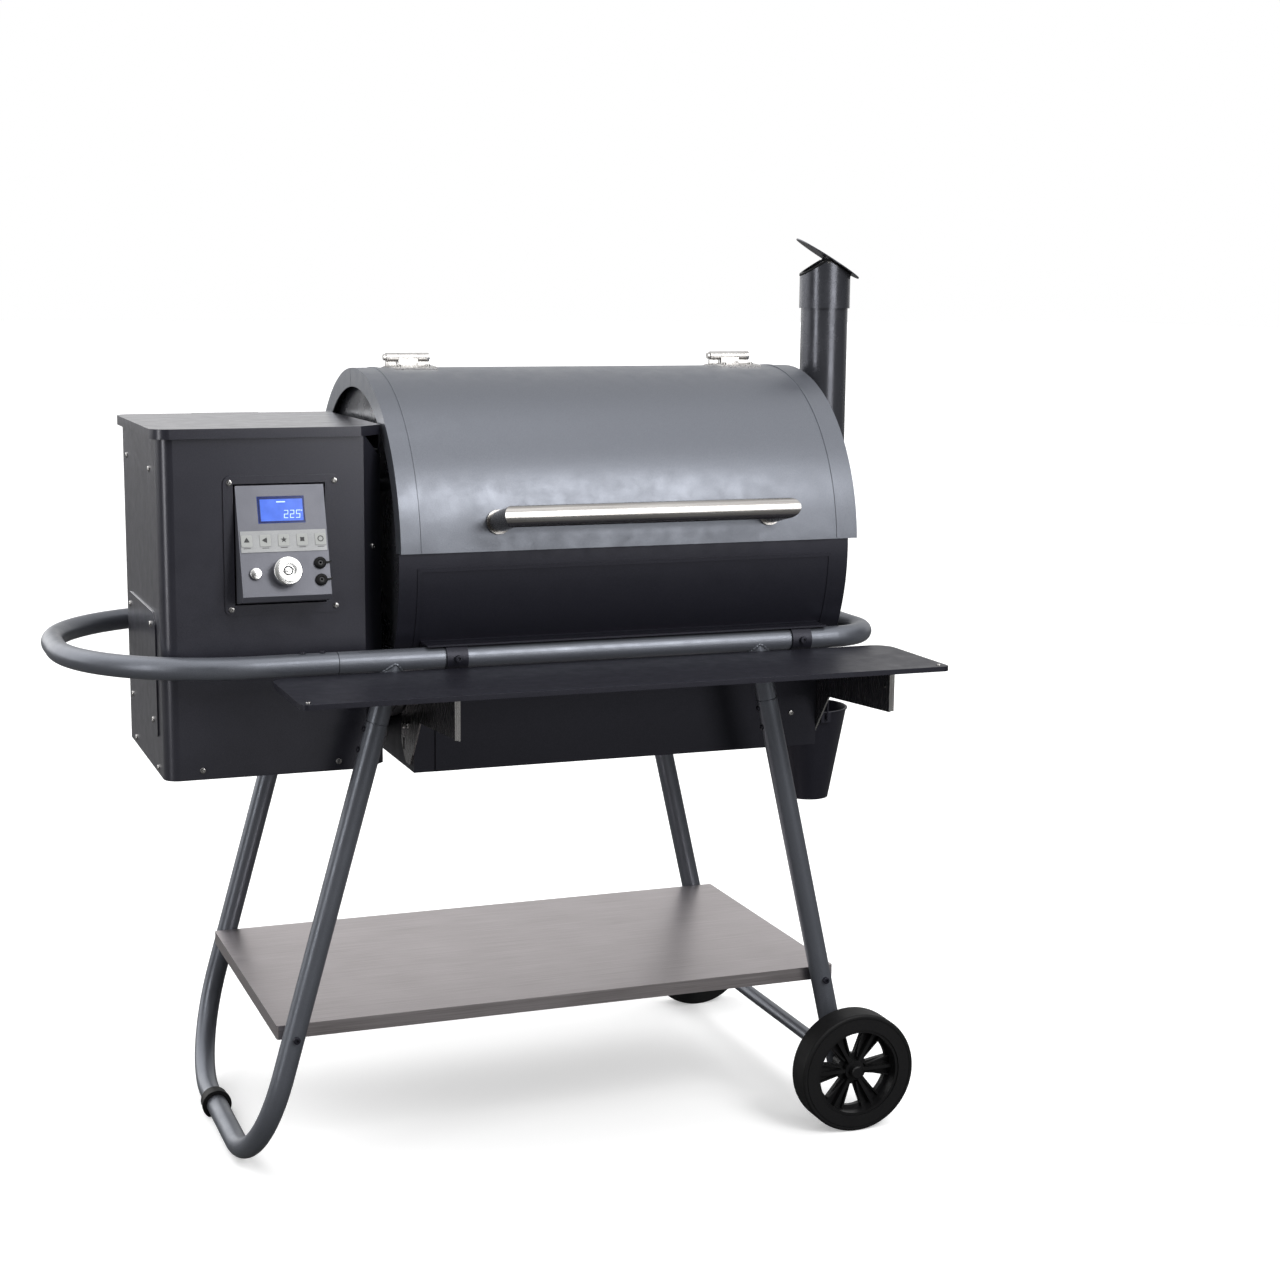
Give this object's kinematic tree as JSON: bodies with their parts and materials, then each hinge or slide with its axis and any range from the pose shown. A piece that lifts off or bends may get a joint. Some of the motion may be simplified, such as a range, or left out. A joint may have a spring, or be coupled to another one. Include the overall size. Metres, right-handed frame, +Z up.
{
  "type": "wood-pellet smoker grill",
  "caption": "Barrel-shaped pellet smoker on a wheeled tube frame, with a side hopper and controller, hinged lid, chimney, front board, bottom shelf and grease bucket.",
  "frame": {"origin": "centre of the bounding box at floor level", "axes": "+Z up, -Y towards the user in front of the grill, +X from the hopper towards the chimney"},
  "size_m": [1.2504, 0.788, 1.3128],
  "materials": {
    "slate_paint": "slate blue-grey metallic powder coat, fine texture",
    "charcoal_paint": "dark charcoal metallic paint, smooth satin",
    "black_powder_coat": "charcoal black high-temperature powder coat, fine wrinkle",
    "stainless": "brushed stainless steel",
    "galvanised": "plain zinc-coated sheet steel",
    "grate_enamel": "porcelain-enamelled black rods",
    "case_plastic": "satin dark grey housing",
    "lcd_screen": "blue lit liquid-crystal window",
    "wheel_plastic": "black moulded plastic",
    "tyre_rubber": "hard black tread"
  },
  "bodies": {
    "grill": {"main_rail": "slate_paint", "push_handle": "slate_paint", "leg_loop": "slate_paint", "leg_front_right": "slate_paint", "leg_rear_right": "slate_paint", "axle_crossbar": "slate_paint", "barrel_rear_shell": "slate_paint", "chimney_pipe": "charcoal_paint", "chimney_collar": "charcoal_paint", "chimney_elbow": "charcoal_paint", "cradle_front": "black_powder_coat", "cradle_rear": "black_powder_coat", "barrel_lower_shell": "black_powder_coat", "end_cap_left": "black_powder_coat", "end_cap_right": "black_powder_coat", "burner_housing": "black_powder_coat", "housing_strap": "black_powder_coat", "front_board": "black_powder_coat", "hopper_body": "black_powder_coat", "hopper_front": "black_powder_coat", "hopper_cover": "black_powder_coat", "hopper_hinge": "black_powder_coat", "control_bezel": "black_powder_coat", "grease_spout": "black_powder_coat", "fire_pot": "black_powder_coat", "drip_tray": "black_powder_coat", "frame_screws": "black_powder_coat", "bottom_shelf": "stainless", "hinge_bases": "stainless", "hinge_pins": "stainless", "flap_pin": "stainless", "axle_rod": "stainless", "shelf_arms": "stainless", "pan_screws": "stainless", "keypad": "stainless", "hopper_bin": "galvanised", "auger_tube": "galvanised", "auger_motor": "galvanised", "grate": "grate_enamel", "control_case": "case_plastic", "probe_jacks": "case_plastic", "power_inlet": "case_plastic", "lcd": "lcd_screen", "axle_caps": "wheel_plastic", "foot_ring": "tyre_rubber"},
    "lid": {"lid_shell": "slate_paint", "lid_handle": "stainless", "hinge_leaves": "stainless", "lid_screws": "stainless"},
    "hopper_lid": {"hopper_lid": "black_powder_coat"},
    "flap": {"chimney_flap": "charcoal_paint"},
    "wheel_front": {"wheel_front_rim": "wheel_plastic", "wheel_front_tyre": "tyre_rubber"},
    "wheel_rear": {"wheel_rear_rim": "wheel_plastic", "wheel_rear_tyre": "tyre_rubber"},
    "dial": {"dial": "stainless"},
    "power_button": {"power_button": "stainless"},
    "auger": {"auger_screw": "galvanised"},
    "bail": {"bucket_bail": "black_powder_coat"},
    "bucket": {"grease_bucket": "black_powder_coat"}
  },
  "joints": [
    {"name": "lid_hinge", "type": "hinge", "parent": "grill", "child": "lid", "pos_m": [0.1633, 0.088, 1.1345], "axis": [-1, 0, 0], "range_deg": [0, 95]},
    {"name": "hopper_lid_hinge", "type": "hinge", "parent": "grill", "child": "hopper_lid", "pos_m": [-0.3352, 0.22, 1.0435], "axis": [-1, 0, 0], "range_deg": [0, 100]},
    {"name": "flap_rock", "type": "hinge", "parent": "grill", "child": "flap", "pos_m": [0.5733, 0.078, 1.277], "axis": [0.309, 0.9511, 0], "range_deg": [-62.5, 0]},
    {"name": "wheel_front_spin", "type": "hinge", "parent": "grill", "child": "wheel_front", "pos_m": [0.49689, -0.237, 0.09], "axis": [0, 1, 0], "continuous": true},
    {"name": "wheel_rear_spin", "type": "hinge", "parent": "grill", "child": "wheel_rear", "pos_m": [0.49689, 0.373, 0.09], "axis": [0, 1, 0], "continuous": true},
    {"name": "dial_turn", "type": "hinge", "parent": "grill", "child": "dial", "pos_m": [-0.3287, -0.15887, 0.85901], "axis": [0, -0.9539, 0.3002], "continuous": true},
    {"name": "power_press", "type": "slide", "parent": "grill", "child": "power_button", "axis": [0, 0.9539, -0.3002], "range_m": [0, 0.002], "stiffness_N_per_m": 600},
    {"name": "auger_spin", "type": "hinge", "parent": "grill", "child": "auger", "pos_m": [-0.1777, 0.068, 0.595], "axis": [1, 0, 0], "continuous": true},
    {"name": "bail_swing", "type": "hinge", "parent": "grill", "child": "bail", "pos_m": [0.5543, 0.058, 0.666], "axis": [0, 1, 0], "range_deg": [-15, 1]},
    {"name": "bucket_tilt", "type": "hinge", "parent": "bail", "child": "bucket", "pos_m": [0.5543, 0.058, 0.576], "axis": [0, 1, 0], "range_deg": [-10, 10]}
  ]
}
